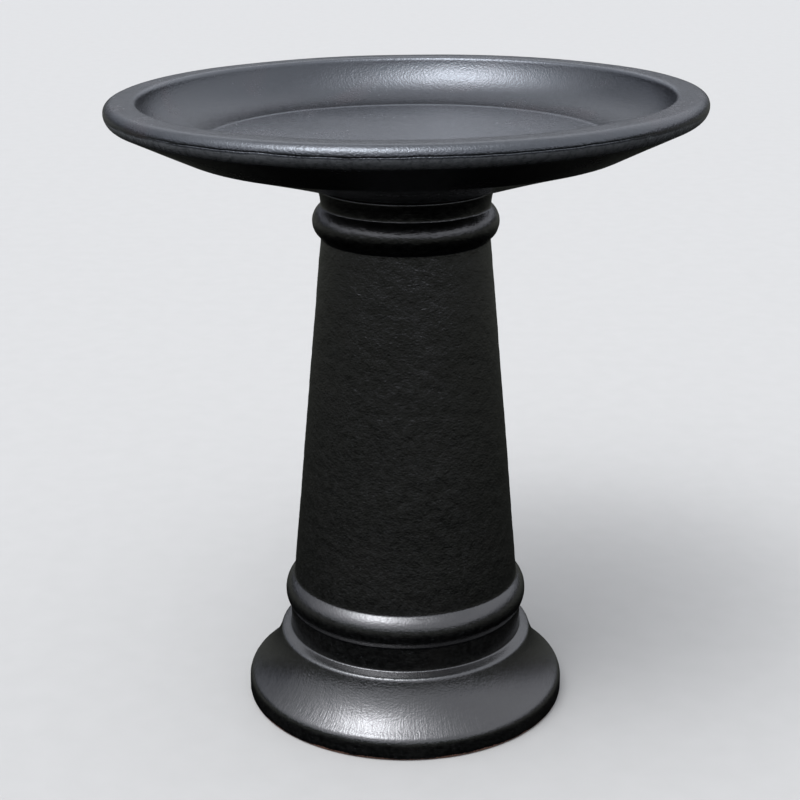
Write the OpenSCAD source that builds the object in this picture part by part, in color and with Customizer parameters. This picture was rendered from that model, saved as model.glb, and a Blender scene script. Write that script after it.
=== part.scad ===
// Two-piece garden bird bath in dark glazed ceramic. A shallow round bowl rests on
// three soft bumpers on top of a hollow turned pedestal, and a ring under the bowl
// drops into the pedestal's neck to keep it centred. The bowl is loose and lifts off.
// The origin is on the ground at the middle of the foot, and +Z is up.
// Every outline is a half section, as [radius, height], turned about the Z axis.

/* [Overall] */
// Height from the ground to the top of the rim
bath_h = 558; // [500:1:700]
// Outer diameter of the bowl
bowl_d = 508; // [490:1:540]
// Outer diameter of the pedestal's foot
foot_d = 292; // [286:1:310]

/* [Bowl] */
// Width of the band round the top of the rim
rim_w = 28; // [26:1:32]
// Radius of the rolled outer edge of the rim
rim_roll = 8; // [6:0.5:9]
// Radius of the rounding under the rim
under_roll = 11; // [9:0.5:13]
// Radius of the inner edge of the rim
lip_roll = 4; // [3:0.5:6]
// Depth from the rim to the edge of the floor
bowl_depth = 38.5; // [37:0.5:40]
// Diameter of the round crease where the floor meets the wall
floor_d = 348; // [330:1:352]
// How much lower the middle of the floor is than its edge
floor_dish = 9; // [4:1:10]
// Height of the whole bowl from its seat to the rim
bowl_h = 78; // [77:1:82]
// Diameter of the soft corner under the bowl
shoulder_d = 384; // [380:1:392]

/* [Seat] */
// Outer diameter of the flat seat under the bowl
seat_d = 156; // [154:1:170]
// Outer diameter of the ring that drops into the neck
ring_d = 117; // [110:1:119]
// Wall thickness of that ring
ring_t = 12; // [10:1:14]
// Depth of that ring below the seat
ring_h = 22; // [15:1:30]
// Number of bumpers between bowl and pedestal
bumper_n = 3; // [3:1:6]
// Diameter of a bumper
bumper_d = 9; // [7:0.5:12]
// Thickness of a bumper
bumper_t = 1.6; // [1:0.1:3]

/* [Pedestal] */
// Thickness of the shaft's wall
wall_t = 12; // [10:1:13]
// Diameter of the neck at its narrowest
neck_d = 147; // [146:1:150]
// Diameter of the shaft at its top
shaft_top_d = 147; // [146:1:152]
// Diameter of the shaft at its bottom
shaft_low_d = 204.5; // [200:0.5:208]
// Diameter of the upright band below the lower bead
band_d = 212; // [211:1:216]

/* [Hidden] */
$fn = 96;
glaze = "#26282c";
rubber = "#1b1b1c";

// Heights up the pedestal, from the ground to the underside of the bowl.
arris_z = 13.5;
flare_low_z = 20.8;
flare_top_z = 61.6;
ledge_z = 65.7;
bead_low_z = 89.1;
bead_top_z = 117.3;
seat_z = bath_h - bowl_h;
neck_top_z = seat_z - bumper_t;
collar_top_z = seat_z - 17.7;
collar_low_z = collar_top_z - 27.8;

// Radii up the pedestal.
foot_r = foot_d / 2;
foot_edge = 2.5;
flare_low_r = foot_r - 2.8;
band_r = band_d / 2;
ledge_r = band_r + 9.5;
ledge_edge = 1.6;
shaft_low_r = shaft_low_d / 2;
shaft_top_r = shaft_top_d / 2;
neck_r = neck_d / 2;
neck_top_r = neck_r + 3;
bore_r = neck_r - wall_t;
foot_ring_w = 19;

// Angles turned by the outline's curves, in degrees.
arris_turn = 42;
flare_turn = -38;
bead_turn = 95;
collar_turn = 115;
neck_turn = -14;

// The bowl.
rim_r = bowl_d / 2;
lip_r = rim_r - rim_w;
lip_z = bath_h - lip_roll;
floor_r = floor_d / 2;
floor_z = bath_h - bowl_depth;
shoulder_r = shoulder_d / 2;
shoulder_z = seat_z + 33.1;
belly_r = 128;
belly_z = seat_z + 16;
seat_r = seat_d / 2;
ring_r = ring_d / 2;
ring_low_z = seat_z - ring_h;
recess_z = seat_z + 13;
wall_turn = 72;
floor_turn = 4;
under_slope = 26.5;

// The points of a curve from p to q that turns left by the angle turn, without p itself.
function bow(p, q, turn, n = 8) =
    let (d = q - p)
    let (start = atan2(d[1], d[0]) - turn / 2)
    let (r = norm(d) / (2 * sin(turn / 2)))
    [for (i = [1 : n])
        let (a = start + turn * i / n)
        p + r * [sin(a) - sin(start), cos(start) - cos(a)]];

// The points of a circle's arc about c, from angle a0 to angle a1.
function arc(c, r, a0, a1, n = 8) =
    [for (i = [0 : n])
        let (a = a0 + (a1 - a0) * i / n)
        c + r * [cos(a), sin(a)]];

// Outside of the pedestal, from the foot up to the top of the neck.
function pedestal_outside() =
    let (foot = [foot_r, foot_edge])
    let (arris = [foot_r, arris_z])
    let (flare_low = [flare_low_r, flare_low_z])
    let (flare_top = [ledge_r, flare_top_z])
    let (ledge_lip = [ledge_r - ledge_edge, flare_top_z + ledge_edge])
    let (bead_low = [band_r, bead_low_z])
    let (bead_top = [shaft_low_r, bead_top_z])
    let (collar_low = [shaft_top_r, collar_low_z])
    let (collar_top = [neck_r, collar_top_z])
    concat(
        arc([foot_r - foot_edge, foot_edge], foot_edge, -90, 0, 4),
        [arris],
        bow(arris, flare_low, arris_turn, 5),
        bow(flare_low, flare_top, flare_turn, 8),
        bow(flare_top, ledge_lip, 60, 3),
        [[band_r, ledge_z], bead_low],
        bow(bead_low, bead_top, bead_turn, 12),
        [collar_low],
        bow(collar_low, collar_top, collar_turn, 12),
        bow(collar_top, [neck_top_r, neck_top_z], neck_turn, 4)
    );

// Inside of the pedestal, from the top of the neck down to the foot.
function pedestal_inside() =
    let (foot_ring_r = foot_r - foot_ring_w)
    let (shaft_end = [shaft_low_r - wall_t, bead_top_z])
    let (band_end = [band_r - wall_t, ledge_z + 6])
    concat(
        [[bore_r, neck_top_z], [bore_r, collar_low_z], shaft_end, band_end],
        bow(band_end, [foot_ring_r, 8], 24, 6),
        [[foot_ring_r, 0]]
    );

// Inside of the bowl, from the middle of the floor out to the rolled rim.
function bowl_inside() =
    let (middle = [0, floor_z - floor_dish])
    let (crease = [floor_r, floor_z])
    concat(
        [middle],
        bow(middle, crease, floor_turn, 6),
        bow(crease, [lip_r, lip_z], wall_turn, 12),
        arc([lip_r + lip_roll, lip_z], lip_roll, 180, 90, 5),
        arc([rim_r - rim_roll, bath_h - rim_roll], rim_roll, 90, 0, 6)
    );

// Underside of the bowl, from the rim in to its middle, with the locating ring.
function bowl_underside() =
    let (corner = [shoulder_r, shoulder_z])
    let (ring_in = ring_r - ring_t)
    concat(
        arc([rim_r - under_roll, bath_h - rim_roll], under_roll, 0, under_slope - 90, 8),
        [corner, [belly_r, belly_z], [seat_r, seat_z], [ring_r, seat_z]],
        [[ring_r, ring_low_z + 2], [ring_r - 2, ring_low_z]],
        [[ring_in + 2, ring_low_z], [ring_in, ring_low_z + 2]],
        [[ring_in, recess_z], [0, recess_z]]
    );

module turned(outline) {
    rotate_extrude() polygon(outline);
}

module pedestal() {
    color(glaze) turned(concat(pedestal_outside(), pedestal_inside()));
}

module seat_bumpers() {
    seat_mid = (bore_r + neck_top_r) / 2;
    color(rubber)
        for (i = [0 : bumper_n - 1])
            rotate([0, 0, 90 + i * 360 / bumper_n])
                translate([seat_mid, 0, neck_top_z])
                    cylinder(d = bumper_d, h = bumper_t);
}

module bowl() {
    color(glaze) turned(concat(bowl_inside(), bowl_underside()));
}

pedestal();
seat_bumpers();
bowl();
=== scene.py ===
"""Looks for the dark glazed bird bath: a shallow bowl that rests on a turned pedestal.

Each ceramic piece is one closed mesh. Its half section is drawn as [radius, height] points in
metres, softened as glaze softens an edge, turned about Z, and then moved along its normals by the
small faults of hand-made pottery. Vertex attributes tell the glaze where edges and bare clay are,
and where it is painted paler, in one band as a painted reflection.
"""

import math

import bpy
import numpy as np
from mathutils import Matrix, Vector, noise


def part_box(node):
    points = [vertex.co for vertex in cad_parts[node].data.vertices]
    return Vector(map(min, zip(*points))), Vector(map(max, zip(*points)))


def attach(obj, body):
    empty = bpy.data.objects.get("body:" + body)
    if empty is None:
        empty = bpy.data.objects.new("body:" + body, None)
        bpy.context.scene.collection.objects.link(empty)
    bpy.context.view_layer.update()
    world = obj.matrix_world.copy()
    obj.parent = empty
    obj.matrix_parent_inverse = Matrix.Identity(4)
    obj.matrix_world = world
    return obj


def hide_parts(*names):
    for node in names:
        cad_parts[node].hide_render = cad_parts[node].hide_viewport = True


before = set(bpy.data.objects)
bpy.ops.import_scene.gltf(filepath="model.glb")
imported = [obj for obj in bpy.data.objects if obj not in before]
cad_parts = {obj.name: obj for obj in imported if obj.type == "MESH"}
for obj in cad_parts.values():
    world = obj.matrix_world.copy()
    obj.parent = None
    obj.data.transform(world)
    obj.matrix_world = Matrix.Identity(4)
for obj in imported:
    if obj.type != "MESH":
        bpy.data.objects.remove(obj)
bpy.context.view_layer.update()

MM = 0.001

# ---------------------------------------------------------------- sizes

# The frame gives each piece's box. The sizes in between are the same as in the part.
BOWL_LOW, BOWL_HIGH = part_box("bowl")
NECK_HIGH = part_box("pedestal")[1]
BUMPER_LOW, BUMPER_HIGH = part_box("seat_bumpers")

RIM_R, RIM_Z = BOWL_HIGH[0], BOWL_HIGH[2]
RIM_W, RIM_ROLL = 28 * MM, 8 * MM
FLOOR_R, FLOOR_Z = 174 * MM, RIM_Z - 38.5 * MM
SEAT_R, SEAT_Z = 78 * MM, BUMPER_HIGH[2]

FOOT_R = NECK_HIGH[0]
BAND_R, BAND_LOW_Z = 106 * MM, 65.7 * MM
SHAFT_LOW_R, BEAD_TOP_Z = 102.25 * MM, 117.3 * MM
COLLAR_LOW_Z, COLLAR_TOP_Z = SEAT_Z - 45.5 * MM, SEAT_Z - 17.7 * MM
NECK_R, NECK_TOP_Z = 73.5 * MM, NECK_HIGH[2]
WALL_T = 12 * MM

# How far the rim leans out of level, as a slope along X and Y.
LEAN_X = 0.0135
LEAN_Y = -0.0110

# ---------------------------------------------------------------- outlines


def bow(start, end, turn, count=24):
    """Points of a curve from start to end that turns left by the angle turn, without start."""
    start, end = np.array(start), np.array(end)
    chord = end - start
    first = math.atan2(chord[1], chord[0]) - math.radians(turn) / 2
    radius = np.hypot(*chord) / (2 * math.sin(math.radians(turn) / 2))
    at = first + math.radians(turn) * np.arange(1, count + 1) / count
    steps = np.stack([np.sin(at) - math.sin(first), math.cos(first) - np.cos(at)], -1)
    return [tuple(p) for p in start + radius * steps]


def arc(centre, radius, first, last, count=24):
    """Points of a circle's arc about centre, from the angle first to the angle last."""
    at = np.radians(np.linspace(first, last, count + 1))
    return [(centre[0] + radius * math.cos(a), centre[1] + radius * math.sin(a)) for a in at]


def bowl_top():
    """From the middle of the floor, up the wall and over the rim to its widest point."""
    lip_roll = 4 * MM
    floor_dish = 9 * MM
    floor_turn, wall_turn = 4, 72
    lip = (RIM_R - RIM_W, RIM_Z - lip_roll)
    middle = (0.0, FLOOR_Z - floor_dish)
    crease = (FLOOR_R, FLOOR_Z)
    return [
        middle,
        *bow(middle, crease, floor_turn),
        *bow(crease, lip, wall_turn),
        *arc((lip[0] + lip_roll, lip[1]), lip_roll, 180, 90),
        *arc((RIM_R - RIM_ROLL, RIM_Z - RIM_ROLL), RIM_ROLL, 90, 0),
    ]


def bowl_under():
    """From the rim's widest point, in along the underside and round the locating ring."""
    under_roll, under_slope = 11 * MM, 26.5
    shoulder = (192 * MM, SEAT_Z + 33.1 * MM)
    cone_turn = 3.3
    ring_r, ring_t = 58.5 * MM, 12 * MM
    ring_in = ring_r - ring_t
    ring_low = BOWL_LOW[2]
    ring_edge = 2 * MM
    recess_z = SEAT_Z + 13 * MM
    return [
        *arc((RIM_R - under_roll, RIM_Z - RIM_ROLL), under_roll, 0, under_slope - 90)[1:],
        shoulder,
        *bow(shoulder, (SEAT_R, SEAT_Z), cone_turn),
        (ring_r, SEAT_Z),
        (ring_r, ring_low + ring_edge),
        (ring_r - ring_edge, ring_low),
        (ring_in + ring_edge, ring_low),
        (ring_in, ring_low + ring_edge),
        (ring_in, recess_z),
        (0.0, recess_z),
    ]


def pedestal_outside():
    """From the foot's edge on the ground, up the mouldings and the shaft to the neck's top."""
    edge, ledge_edge = 2.5 * MM, 1.6 * MM
    arris_turn, flare_turn, bead_turn, collar_turn, neck_turn = 42, -38, 95, 115, -14
    arris = (FOOT_R, 13.5 * MM)
    flare_low = (FOOT_R - 2.8 * MM, 20.8 * MM)
    flare_top = (115.5 * MM, 61.6 * MM)
    ledge_lip = (flare_top[0] - ledge_edge, flare_top[1] + ledge_edge)
    bead_low = (BAND_R, 89.1 * MM)
    bead_top = (SHAFT_LOW_R, BEAD_TOP_Z)
    collar_low = (NECK_R, COLLAR_LOW_Z)
    collar_top = (NECK_R, COLLAR_TOP_Z)
    return [
        *arc((FOOT_R - edge, edge), edge, -90, 0),
        arris,
        *bow(arris, flare_low, arris_turn),
        *bow(flare_low, flare_top, flare_turn),
        *bow(flare_top, ledge_lip, 60),
        (BAND_R, BAND_LOW_Z),
        bead_low,
        *bow(bead_low, bead_top, bead_turn),
        collar_low,
        *bow(collar_low, collar_top, collar_turn),
        *bow(collar_top, (NECK_R + 3 * MM, NECK_TOP_Z), neck_turn),
    ]


def pedestal_inside():
    """From the neck's top, down the hollow to the foot ring's inner edge on the ground."""
    foot_ring_w, hollow_turn = 19 * MM, 24
    band_end = (BAND_R - WALL_T, BAND_LOW_Z + 6 * MM)
    foot_in_r = FOOT_R - foot_ring_w
    return [
        (NECK_R - WALL_T, NECK_TOP_Z),
        (NECK_R - WALL_T, COLLAR_LOW_Z),
        (SHAFT_LOW_R - WALL_T, BEAD_TOP_Z),
        band_end,
        *bow(band_end, (foot_in_r, 8 * MM), hollow_turn),
        (foot_in_r, 0.0),
    ]


def distances(points):
    """The distance along the outline from its first point to each point."""
    return np.concatenate([[0], np.cumsum(np.hypot(*np.diff(points, axis=0).T))])


def read_at(at, run, values):
    """Columns of values, known at the distances run, read at the distances at."""
    return np.stack([np.interp(at, run, column) for column in np.array(values).T], -1)


def looped(points, closed):
    """The outline with its first point again at the end, if it is a closed one."""
    return np.vstack([points, points[:1]]) if closed else np.array(points)


def soften(points, sigma, step):
    """Rounds every corner of an evenly stepped outline, as a coat of glaze does.

    The ends keep their own heading: an outline that meets the axis stays square to it.
    """
    reach = int(4 * sigma / step)
    weights = np.exp(-0.5 * (np.arange(-reach, reach + 1) * step / sigma) ** 2)
    weights /= weights.sum()
    before = 2 * points[0] - points[reach:0:-1]
    after = 2 * points[-1] - points[-2 : -reach - 2 : -1]
    padded = np.vstack([before, points, after])
    return np.stack([np.convolve(column, weights, "valid") for column in padded.T], -1)


def section(outline, closed, finest, coarsest, sigma, detail):
    """The rings of a turned mesh: place, heading, distance along the outline and curvature.

    Rings lie close together where the outline bends, and no further apart than detail says.
    """
    step = 0.25 * MM
    sharp = looped(outline, closed)
    run = distances(sharp)
    points = read_at(np.arange(0, run[-1], step), run, sharp)
    points = soften(points, sigma, step)
    run = distances(points)
    heading = np.gradient(points, run, axis=0)
    heading /= np.hypot(*heading.T)[:, None]
    turned = np.gradient(heading, run, axis=0)
    curve = heading[:, 0] * turned[:, 1] - heading[:, 1] * turned[:, 0]
    ring_turn = math.radians(7)
    spacing = np.clip(ring_turn / np.maximum(np.abs(curve), 1), finest, coarsest)
    spacing = np.minimum(spacing, detail(points[:, 0], points[:, 1]))
    count = np.concatenate([[0], np.cumsum(np.diff(run) / spacing[1:])])
    at = np.interp(np.linspace(0, count[-1], int(round(count[-1])) + 1), count, run)
    if closed:
        at = at[:-1]
    return read_at(at, run, points), read_at(at, run, heading), at, np.interp(at, run, curve)


# ---------------------------------------------------------------- hand-made surfaces


def step_up(value, low, high):
    """A smooth rise from 0 at low to 1 at high."""
    t = np.clip((value - low) / (high - low), 0, 1)
    return t * t * (3 - 2 * t)


def step_down(value, low, high):
    """A smooth fall from 1 at low to 0 at high."""
    return 1 - step_up(value, low, high)


def hump(value, middle, width):
    """A smooth hump, 1 at middle and almost 0 two widths away."""
    return np.exp(-(((value - middle) / width) ** 2))


def noise_at(x, y, z):
    """Perlin noise, about -0.7 to 0.7, at each point."""
    x, y, z = np.broadcast_arrays(x, y, z)
    found = [noise.noise(Vector(p)) for p in zip(x.flat, y.flat, z.flat)]
    return np.array(found).reshape(x.shape)


def lumps(angle, radius, height, size, seed):
    """Noise whose lumps are about size across. Each seed gives different lumps."""
    shift = 7.3 * seed
    x = radius * np.cos(angle) / size + shift
    y = radius * np.sin(angle) / size - shift
    return noise_at(x, y, height / size + shift)


def around(angle, count, height, seed):
    """Noise with about count lumps in one turn, which closes without a seam."""
    radius = count / (2 * math.pi)
    shift = 5.7 * seed
    return noise_at(radius * np.cos(angle) + shift, radius * np.sin(angle) - shift, height + shift)


def smooth_object(name, points, faces):
    """A smooth-shaded object with the points and faces, added to the scene."""
    mesh = bpy.data.meshes.new(name)
    mesh.from_pydata(points, [], faces)
    mesh.update()
    mesh.shade_smooth()
    made = bpy.data.objects.new(name, mesh)
    bpy.context.scene.collection.objects.link(made)
    return made


def ring_faces(rings, segments, closed, flip):
    """Quads between neighbouring rings, each a tuple of four points."""
    i = np.arange(rings if closed else rings - 1)[:, None] * segments
    j = np.arange(segments)[None, :]
    k = (j + 1) % segments
    above = (i + segments) % (rings * segments)
    quads = np.stack([i + j, i + k, above + k, above + j], -1).reshape(-1, 4)
    return (quads[:, ::-1] if flip else quads).tolist()


def spin(name, outer, inner, closed, segments, spacing, finish, detail):
    """Turns the outline outer + inner about Z into one closed mesh.

    A closed outline goes up the outside. An open one goes out from the axis and comes back to it.
    finish(angle, radius, height, run, outer_run) gives how far each point moves out along its
    normal and straight up, how far inside the glaze's edge it is, and how much glaze pools there,
    which is negative where the glaze is painted paler, in one band as a painted reflection.
    """
    sigma = 0.8 * MM
    place, heading, run, curve = section(outer + inner, closed, *spacing, sigma, detail)
    # The surface faces right of a closed outline's heading and left of an open one's. Both ends of
    # an open outline are on the axis, where a single point closes the mesh instead of a ring.
    side = -1 if closed else 1
    keep = slice(None) if closed else slice(1, -1)
    rings = len(place[keep])
    angle = np.linspace(0, 2 * math.pi, segments, endpoint=False)[None, :]
    radius, height, way, along_r, along_z, bent = (
        np.repeat(column[keep][:, None], segments, 1)
        for column in (*place.T, run, *heading.T, curve)
    )
    out, rise, coat, pool_and_painted_reflection = finish(angle, radius, height, way, distances(outer)[-1])
    moved_r = radius - side * along_z * out
    moved_z = height + side * along_r * out + rise
    points = np.stack([moved_r * np.cos(angle), moved_r * np.sin(angle), moved_z], -1)
    points = points.reshape(-1, 3).tolist()
    edge_scale = 2.5 * MM
    # edge is the outline's bend less the pool from finish; a negative pool paints the glaze paler,
    # below the bowl's rim line as a painted reflection.
    edge = list((np.clip(-side * bent * edge_scale, -1, 1) - pool_and_painted_reflection).ravel())
    coat_scale = 4 * MM
    coat = list(np.clip(coat / coat_scale, -1, 1).ravel())
    faces = ring_faces(rings, segments, closed, flip=not closed)
    if not closed:
        for ring in (0, rings - 1):
            row = range(ring * segments, (ring + 1) * segments)
            tip = len(points)
            points.append((0, 0, sum(points[i][2] for i in row) / segments))
            edge.append(0)
            coat.append(coat[row[0]])
            pairs = zip(row, [*row[1:], row[0]])
            faces += [(tip, a, b) if ring == 0 else (tip, b, a) for a, b in pairs]
    piece = smooth_object(name, points, faces)
    for label, values in (("edge", edge), ("glaze", coat)):
        piece.data.attributes.new(label, "FLOAT", "POINT").data.foreach_set("value", values)
    return piece


GLAZE_T = 0.25 * MM


def bowl_finish(angle, radius, height, run, outer_run):
    """The bowl's faults: a slight lean, soft lumps, throwing rings and a dark wavy line under the
    rim.

    Below the line a light grey band is painted on, a painted reflection, and the floor is painted
    paler.
    """
    x, y = radius * np.cos(angle), radius * np.sin(angle)
    rise = (LEAN_X * x + LEAN_Y * y) * step_up(radius, SEAT_R, RIM_R - RIM_W - 2 * MM)
    under = run > outer_run
    bare_r = SEAT_R - 3 * MM + 1.5 * MM * around(angle, 45, 0, 1)
    coat = np.where(under, radius - bare_r, 1.0)
    waver = around(angle, 110, 0, 2) + around(angle, 18, 0, 3)
    line_z = RIM_Z - RIM_ROLL + 0.7 * MM * waver
    line = hump(height, line_z, 0.45 * MM) * (radius > RIM_R - RIM_ROLL)
    line = line * step_up(around(angle, 9, 0, 12), -0.5, -0.1)
    crease = step_up(radius, FLOOR_R - 1.5 * MM, FLOOR_R + 1.5 * MM) * ~under
    crease = crease * step_down(radius, FLOOR_R + 5 * MM, FLOOR_R + 45 * MM)
    thrown = around(0 * angle, 1, radius / (9 * MM), 4) * ~under * (radius < FLOOR_R)
    out = (
        GLAZE_T * step_up(coat, -0.2 * MM, 0.8 * MM)
        + 0.4 * MM * lumps(angle, radius, height, 80 * MM, 5)
        + 0.04 * MM * lumps(angle, radius, height, 18 * MM, 6)
        + 0.8 * MM * crease
        + 0.03 * MM * thrown
        - 0.35 * MM * line
    )
    # Below the rim line the glaze gets a painted reflection: a light grey band that fades
    # downwards.
    below = line_z - height
    painted_reflection_band = step_up(below, 0.6 * MM, 2 * MM) * step_down(below, 8 * MM, 14 * MM)
    painted_reflection_band = painted_reflection_band * (radius > RIM_R - 22 * MM)
    # The floor's glaze is painted paler.
    paler_floor = 0.7 * step_down(radius, FLOOR_R - 3 * MM, FLOOR_R + 9 * MM) * ~under
    seat = under & (radius < SEAT_R + 1 * MM)
    return out * ~seat, rise, coat, 1.6 * line - 1.8 * painted_reflection_band - paler_floor


def pedestal_finish(angle, radius, height, run, outer_run):
    """The pedestal's faults: a lumpy shaft, soft runs of glaze down the foot, bare clay inside."""
    wave = 1.2 * MM * around(angle, 55, 0, 7)
    coat = np.minimum(height - 2.2 * MM, outer_run + 8 * MM - run) + wave
    shaft = step_up(height, BEAD_TOP_Z - 5 * MM, BEAD_TOP_Z + 25 * MM)
    foot = step_down(height, 55 * MM, 62 * MM)
    free = step_up(height, 0.5 * MM, 4 * MM) * step_up(NECK_TOP_Z - height, 0.5 * MM, 4 * MM)
    out = (
        GLAZE_T * step_up(coat, -0.2 * MM, 0.8 * MM)
        + 0.35 * MM * lumps(angle, radius, height, 60 * MM, 8)
        + (0.06 + 0.14 * shaft) * MM * lumps(angle, radius, height, 11 * MM, 9)
        + (0.03 + 0.10 * shaft) * MM * lumps(angle, radius, height, 5 * MM, 10)
        + 0.06 * MM * foot * around(angle, 90, height / (60 * MM), 11)
    )
    none = np.zeros_like(out)
    return out * free, none, coat, none


def bowl_detail(radius, height):
    """The widest step between the bowl's rings: fine at the floor's crease, rim and glaze edge."""
    step = np.full(radius.shape, 3.2 * MM)
    step[(abs(radius - FLOOR_R) < 6 * MM) & (height > FLOOR_Z - 4 * MM)] = 1.1 * MM
    step[(radius > RIM_R - 6 * MM) & (abs(height - RIM_Z + 6 * MM) < 3 * MM)] = 0.3 * MM
    step[(abs(radius - SEAT_R - 3 * MM) < 4 * MM) & (height < SEAT_Z + 5 * MM)] = 0.8 * MM
    return step


def pedestal_detail(radius, height):
    """The widest step between the pedestal's rings: coarse inside, where only the bore is seen."""
    heights = [0, 66 * MM, BEAD_TOP_Z, NECK_TOP_Z]
    wall_r = np.interp(height, heights, [FOOT_R, BAND_R, SHAFT_LOW_R, NECK_R])
    return np.where(radius < wall_r - WALL_T / 2, 6 * MM, 2.4 * MM)


def dome(name, centres, low, high, radius):
    """Small domed discs with rounded shoulders, standing on low, as one mesh."""
    segments = 40
    shoulder = 0.45 * MM
    side_share = 0.62
    side_top = low + side_share * (high - low)
    side = arc((radius - shoulder, low + shoulder), shoulder, -90, 0, 6)
    steepest, tilt_step = 78, 8
    tilts = np.radians(np.arange(steepest, 0, -tilt_step))
    crown = [(radius * math.sin(a), side_top + (high - side_top) * math.cos(a)) for a in tilts]
    outline = [(radius - shoulder, low), *side, *crown]
    angle = np.linspace(0, 2 * math.pi, segments, endpoint=False)
    points, faces = [], []
    for x, y in centres:
        start = len(points)
        for r, z in outline:
            points += [(x + r * math.cos(a), y + r * math.sin(a), z) for a in angle]
        rings = ring_faces(len(outline), segments, closed=False, flip=False)
        faces += [tuple(start + i for i in face) for face in rings]
        faces.append(tuple(range(start + segments - 1, start - 1, -1)))
        faces.append(tuple(range(len(points) - segments, len(points))))
    return smooth_object(name, points, faces)


# ---------------------------------------------------------------- materials


POOLED_GLAZE = (0.003, 0.003, 0.004)
# The light grey of the painted reflection on the band below the bowl's rim line.
PAINTED_REFLECTION_GREY = (0.115, 0.120, 0.125)
DARK_CLAY = (0.26, 0.105, 0.055)
LIGHT_CLAY = (0.42, 0.19, 0.11)
SINGED_CLAY = (0.12, 0.045, 0.022)


class Nodes:
    """A node tree under construction."""

    def __init__(self, tree):
        self.tree = tree

    def add(self, kind, inputs=None, **settings):
        """Adds a node. Each input takes a number, a colour or another node's output."""
        made = self.tree.nodes.new(kind)
        for key, value in settings.items():
            setattr(made, key, value)
        self.fill(made, inputs or {})
        return made

    def fill(self, made, inputs):
        for key, value in inputs.items():
            if isinstance(value, bpy.types.NodeSocket):
                self.tree.links.new(value, made.inputs[key])
            else:
                made.inputs[key].default_value = value

    def ramp(self, value, low, high, at_low=0.0, at_high=1.0):
        """A smooth change from at_low to at_high as value goes from low to high."""
        inputs = {"Value": value, "From Min": low, "From Max": high}
        inputs.update({"To Min": at_low, "To Max": at_high})
        return self.add("ShaderNodeMapRange", inputs, interpolation_type="SMOOTHSTEP").outputs[0]

    def math(self, operation, first, second):
        return self.add("ShaderNodeMath", {0: first, 1: second}, operation=operation).outputs[0]


class Shader(Nodes):
    """A node material under construction."""

    def __init__(self, name):
        self.material = bpy.data.materials.new(name)
        self.material.use_nodes = True
        super().__init__(self.material.node_tree)
        self.surface = self.tree.nodes["Principled BSDF"]
        self.coords = self.add("ShaderNodeTexCoord").outputs["Object"]

    def noise(self, size, detail=2.0, rough=0.5, warp=0.0, coords=None):
        """Soft noise, about 0.3 to 0.7, whose lumps are about size across."""
        inputs = {"Vector": coords or self.coords, "Scale": 1 / size, "Detail": detail}
        inputs.update({"Roughness": rough, "Distortion": warp})
        return self.add("ShaderNodeTexNoise", inputs).outputs["Fac"]

    def mix(self, share, first, second):
        """The colour first, turning to second where share is 1."""
        made = self.add("ShaderNodeMix", data_type="RGBA")
        for socket, value in ((0, share), (6, first), (7, second)):
            if isinstance(value, bpy.types.NodeSocket):
                self.tree.links.new(value, made.inputs[socket])
            else:
                made.inputs[socket].default_value = value if socket == 0 else (*value, 1)
        return made.outputs[2]

    def attribute(self, name):
        return self.add("ShaderNodeAttribute", attribute_name=name).outputs["Fac"]

    def bumps(self, *layers):
        """Bumps one on another: each layer is (height, metres of relief)."""
        normal = None
        for height, relief in layers:
            inputs = {"Height": height, "Distance": relief, "Strength": 1.0}
            if normal:
                inputs["Normal"] = normal
            normal = self.add("ShaderNodeBump", inputs).outputs["Normal"]
        return normal


def streaks(shader, width):
    """Noise that runs along the section, about width radians across, as a brush leaves it."""
    parts = shader.add("ShaderNodeSeparateXYZ", {0: shader.coords}).outputs
    flat = shader.add("ShaderNodeCombineXYZ", {0: parts[0], 1: parts[1]}).outputs[0]
    unit = shader.add("ShaderNodeVectorMath", {0: flat}, operation="NORMALIZE").outputs[0]
    ends = shader.add("ShaderNodeSeparateXYZ", {0: unit}).outputs
    drift = 1.2
    slow = shader.math("MULTIPLY", parts[2], drift)
    path = shader.add("ShaderNodeCombineXYZ", {0: ends[0], 1: ends[1], 2: slow}).outputs[0]
    return shader.noise(width, 3.0, 0.6, coords=path)


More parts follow.
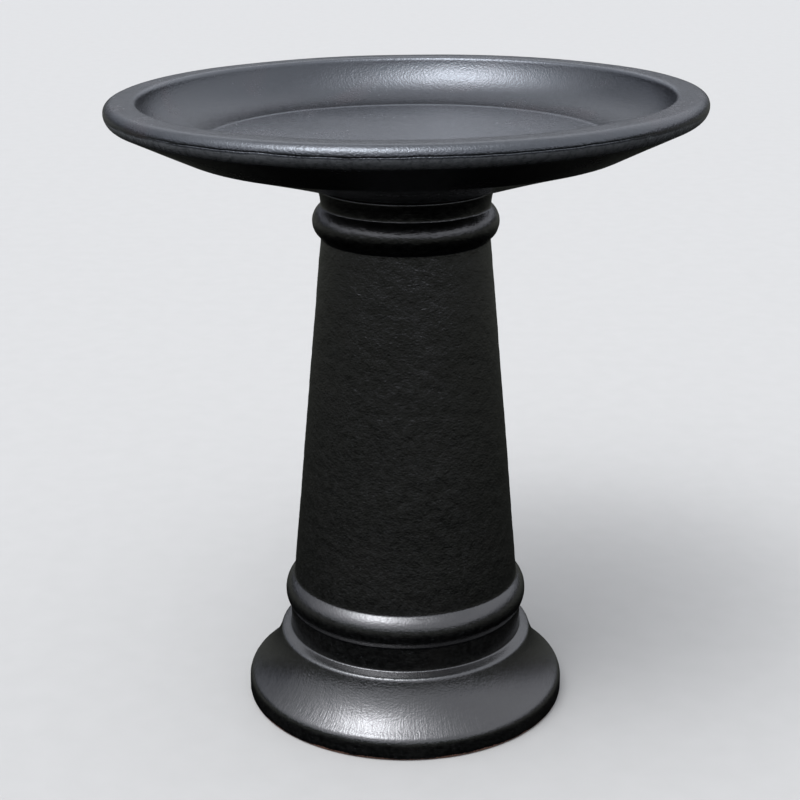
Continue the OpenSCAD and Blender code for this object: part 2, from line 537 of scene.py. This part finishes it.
def glaze(
    name, dark, light, warm, pale, gloss_tint, roughness, grain_relief, peel_relief, streak_relief
):
    """A dark semi-gloss glaze over clay, which stays bare where the glaze attribute is negative.

    The glaze is mottled from dark to light with clouds of warm, and its flecks and edges are pale.
    Where the edge attribute runs high, a light grey is painted on as a painted reflection.
    Its reliefs, in metres, are fine grain, orange peel, and brush streaks up to the lower bead.
    """
    shader = Shader(name)
    mottle = shader.noise(4.5 * MM, 5.0, 0.65, 0.3)
    cloud = shader.noise(75 * MM, 3.0, 0.5, 0.8)
    grain = shader.noise(1.7 * MM, 2.0, 0.6)
    fleck = shader.noise(1.6 * MM, 1.0, 0.5)
    edge = shader.attribute("edge")

    colour = shader.mix(shader.ramp(mottle, 0.36, 0.66), dark, light)
    colour = shader.mix(shader.ramp(cloud, 0.52, 0.72, 0, 0.75), colour, warm)
    colour = shader.mix(shader.ramp(fleck, 0.66, 0.74, 0, 0.6), colour, pale)
    patchy = shader.ramp(mottle, 0.3, 0.6, 0.5)
    # Bent edges and the floor are painted paler, and so is the band below the bowl's rim line, as a
    # painted reflection.
    paler_edges_and_painted_reflection = shader.math("MULTIPLY", shader.ramp(edge, 0.15, 0.9), patchy)
    colour = shader.mix(shader.math("MULTIPLY", paler_edges_and_painted_reflection, 0.75), colour, pale)
    # A light grey painted reflection on the band below the bowl's rim line.
    painted_reflection_band = shader.math("MULTIPLY", shader.ramp(edge, 0.9, 2.0), patchy)
    colour = shader.mix(painted_reflection_band, colour, PAINTED_REFLECTION_GREY)
    colour = shader.mix(shader.ramp(edge, -0.15, -0.8, 0, 0.9), colour, POOLED_GLAZE)

    clay_grain = shader.noise(0.9 * MM, 4.0, 0.7)
    clay = shader.mix(clay_grain, DARK_CLAY, LIGHT_CLAY)
    ragged = shader.ramp(grain, 0.3, 0.7, -0.12, 0.12)
    fringe = shader.math("ADD", shader.attribute("glaze"), ragged)
    coated = shader.ramp(fringe, -0.08, 0.08)
    singed = shader.ramp(fringe, -0.5, 0.0)
    clay = shader.mix(singed, clay, SINGED_CLAY)

    low_rough, high_rough = roughness
    shine = shader.ramp(mottle, 0.3, 0.7, low_rough, high_rough)
    shine = shader.math("ADD", shine, shader.ramp(cloud, 0.35, 0.65, -0.03, 0.03))
    matt = shader.ramp(coated, 0, 1, 0.85, 0)
    shine = shader.math("MAXIMUM", shine, matt)

    flattened = {0: shader.coords, 1: (1, 1, 1.15)}
    flat = shader.add("ShaderNodeVectorMath", flattened, operation="MULTIPLY").outputs[0]
    dimples = shader.noise(4.2 * MM, 2.0, 0.5, 0.6, flat)
    layers = [(grain, grain_relief)]
    if streak_relief:
        height = shader.add("ShaderNodeSeparateXYZ", {0: shader.coords}).outputs[2]
        foot = shader.ramp(height, 118 * MM, 108 * MM)
        layers.append((shader.math("MULTIPLY", streaks(shader, 0.013), foot), streak_relief))
        above = shader.ramp(height, 108 * MM, 135 * MM, 0.35, 1.0)
        dimples = shader.math("MULTIPLY", dimples, above)
    layers.append((dimples, peel_relief))
    bare = shader.ramp(coated, 0, 1, 1, 0)
    layers.append((shader.math("MULTIPLY", clay_grain, bare), 0.25 * MM))
    shader.fill(shader.surface, {
        "Base Color": shader.mix(coated, clay, colour),
        "Roughness": shine,
        "IOR": 1.95,
        "Specular Tint": (*gloss_tint, 1),
        "Normal": shader.bumps(*layers),
    })
    return shader.material


def rubber(name):
    """Matte black rubber with a fine grain and a little dust."""
    shader = Shader(name)
    grain = shader.noise(0.4 * MM, 3.0, 0.7)
    dust = shader.ramp(shader.noise(2.5 * MM, 3.0), 0.5, 0.75, 0, 0.5)
    shader.fill(shader.surface, {
        "Base Color": shader.mix(dust, (0.018, 0.018, 0.018), (0.07, 0.066, 0.06)),
        "Roughness": shader.ramp(grain, 0.3, 0.7, 0.6, 0.8),
        "Normal": shader.bumps((grain, 0.05 * MM)),
    })
    return shader.material


# ---------------------------------------------------------------- the bird bath

pedestal = spin(
    "glazed_pedestal",
    pedestal_outside(),
    pedestal_inside(),
    closed=True,
    segments=300,
    spacing=(0.9 * MM, 6 * MM),
    finish=pedestal_finish,
    detail=pedestal_detail,
)
pedestal.data.materials.append(
    glaze(
        "pedestal_glaze_look",
        dark=(0.0015, 0.0015, 0.0016),
        light=(0.0055, 0.0056, 0.0056),
        warm=(0.0045, 0.0042, 0.0040),
        pale=(0.028, 0.030, 0.032),
        gloss_tint=(1.0, 0.995, 1.0),
        roughness=(0.14, 0.24),
        grain_relief=0.24 * MM,
        peel_relief=0.30 * MM,
        streak_relief=0.26 * MM,
    )
)
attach(pedestal, "pedestal")
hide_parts("pedestal")

bowl = spin(
    "glazed_bowl",
    bowl_top(),
    bowl_under(),
    closed=False,
    segments=400,
    spacing=(0.9 * MM, 3.2 * MM),
    finish=bowl_finish,
    detail=bowl_detail,
)
bowl.data.materials.append(
    glaze(
        "bowl_glaze_look",
        dark=(0.0025, 0.0028, 0.0036),
        light=(0.0075, 0.0082, 0.0105),
        warm=(0.0140, 0.0085, 0.0095),
        pale=(0.040, 0.043, 0.050),
        gloss_tint=(0.88, 0.93, 1.0),
        roughness=(0.16, 0.26),
        grain_relief=0.38 * MM,
        peel_relief=0.14 * MM,
        streak_relief=0,
    )
)
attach(bowl, "bowl")
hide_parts("bowl")

BUMPER_R = 4.5 * MM
BUMPER_RING_R = BUMPER_HIGH[1] - BUMPER_R
BUMPER_ANGLES = np.radians([90, 210, 330])
spots = [(BUMPER_RING_R * math.cos(a), BUMPER_RING_R * math.sin(a)) for a in BUMPER_ANGLES]
bumpers = dome("domed_bumpers", spots, BUMPER_LOW[2], BUMPER_HIGH[2], BUMPER_R)
bumpers.data.materials.append(rubber("bumper_rubber_look"))
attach(bumpers, "pedestal")
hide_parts("seat_bumpers")

# ---------------------------------------------------------------- floor, light and camera


def floor(radius, wall):
    """A plain pale floor that is flat out to radius and then sweeps up into a wall.

    Neither of them lights the glaze or shows in it.
    """
    shader = Shader("pale_floor")
    speckle = shader.noise(30 * MM, 3.0)
    shader.fill(shader.surface, {
        "Base Color": shader.mix(speckle, (0.42, 0.415, 0.40), (0.45, 0.445, 0.43)),
        "Roughness": 0.8,
    })
    segments = 96
    angle = np.linspace(0, 2 * math.pi, segments, endpoint=False)
    bend = wall / 2
    outline = [*arc((radius, bend), bend, -90, 0), (radius + bend, wall)]
    points = [(r * math.cos(a), r * math.sin(a), z) for r, z in outline for a in angle]
    faces = ring_faces(len(outline), segments, closed=False, flip=True)
    made = smooth_object("floor", points, [*faces, tuple(range(segments))])
    made.data.materials.append(shader.material)
    made.visible_glossy = False
    made.visible_diffuse = False
    made.visible_shadow = False
    return made


def aim(azimuth, elevation):
    """The way towards a place in the sky. Azimuth 0 is the camera's side."""
    turn, tilt = math.radians(azimuth), math.radians(elevation)
    return math.sin(turn) * math.cos(tilt), -math.cos(turn) * math.cos(tilt), math.sin(tilt)


def sky(stops, tint, middle, glow, shaded):
    """Soft studio light all round, brightest about the way middle and dimmed about shaded.

    Each of the stops is the sine of an elevation and the colour there. The glow adds light in the
    colour tint above the horizon: each of its steps is degrees from the middle and brightness.
    It fades in over the first degrees of height, and out within a cone about the way shaded.
    """
    world = bpy.data.worlds.new("studio")
    world.use_nodes = True
    light = Nodes(world.node_tree)
    way = light.add("ShaderNodeTexCoord").outputs["Generated"]
    rise = light.add("ShaderNodeSeparateXYZ", {0: way}).outputs[2]

    def read(source, steps):
        """The colour that steps give for source, which runs from -1 to 1."""
        share = light.add("ShaderNodeMapRange", {"Value": source, "From Min": -1}).outputs[0]
        shade = light.add("ShaderNodeValToRGB", {0: share})
        marks = shade.color_ramp.elements
        marks.remove(marks[1])
        for place, colour in steps:
            marks.new((place + 1) / 2).color = (*colour, 1)
        marks.remove(marks[0])
        return shade.outputs[0]

    def near(place):
        """The cosine of the angle from the way place."""
        inputs = {0: way, 1: place}
        made = light.add("ShaderNodeVectorMath", inputs, operation="DOT_PRODUCT")
        return made.outputs["Value"]

    peak = glow[0][1]
    steps = [(math.cos(math.radians(off)), (level / peak,) * 3) for off, level in reversed(glow)]
    horizon = [math.sin(math.radians(elevation)) for elevation in (3, 14)]
    cone = [math.cos(math.radians(off)) for off in (40, 17)]
    dimmest = 0.08
    risen = light.ramp(rise, *horizon, 0, peak)
    dimmed = light.ramp(near(shaded), *cone, 1, dimmest)
    level = light.math("MULTIPLY", read(near(middle), steps), light.math("MULTIPLY", risen, dimmed))

    base = light.tree.nodes["Background"]
    light.fill(base, {"Color": read(rise, stops)})
    lamp = light.add("ShaderNodeBackground", {"Color": (*tint, 1), "Strength": level})
    both = light.add("ShaderNodeAddShader", {0: base.outputs[0], 1: lamp.outputs[0]})
    light.fill(light.tree.nodes["World Output"], {"Surface": both.outputs[0]})
    bpy.context.scene.world = world


floor(radius=8, wall=9)
sky(
    stops=[
        (-0.60, (0.000, 0.000, 0.000)),
        (-0.45, (0.006, 0.006, 0.006)),
        (-0.30, (0.033, 0.035, 0.031)),
        (-0.17, (0.097, 0.101, 0.092)),
        (-0.07, (0.168, 0.174, 0.160)),
        (-0.01, (0.160, 0.165, 0.155)),
        (0.02, (0.025, 0.027, 0.027)),
        (0.12, (0.035, 0.037, 0.041)),
        (0.18, (0.245, 0.267, 0.325)),
        (0.30, (0.420, 0.440, 0.490)),
    ],
    tint=(0.94, 0.955, 1.0),
    middle=aim(-40, 61),
    glow=[
        (0, 15.0), (6, 10.5), (12, 6.0), (18, 4.2), (24, 2.4), (30, 1.4),
        (42, 0.7), (56, 0.45), (75, 0.6), (105, 0.32), (180, 0.2),
    ],
    shaded=aim(-132, 8),
)

# The camera is 1.47 m in front of the bath's axis and 0.79 m up, and looks 19 degrees down.
CAMERA_PLACE = (-0.00504, -1.4687, 0.7935)
LOOKS_DOWN = 19.177

camera = bpy.data.cameras.new("camera")
camera.sensor_width = 36
camera.lens = 77.95
viewer = bpy.data.objects.new("camera", camera)
viewer.location = CAMERA_PLACE
viewer.rotation_euler = (math.radians(90 - LOOKS_DOWN), 0, 0)
bpy.context.scene.collection.objects.link(viewer)
bpy.context.scene.camera = viewer
bpy.context.scene.view_settings.view_transform = "Standard"
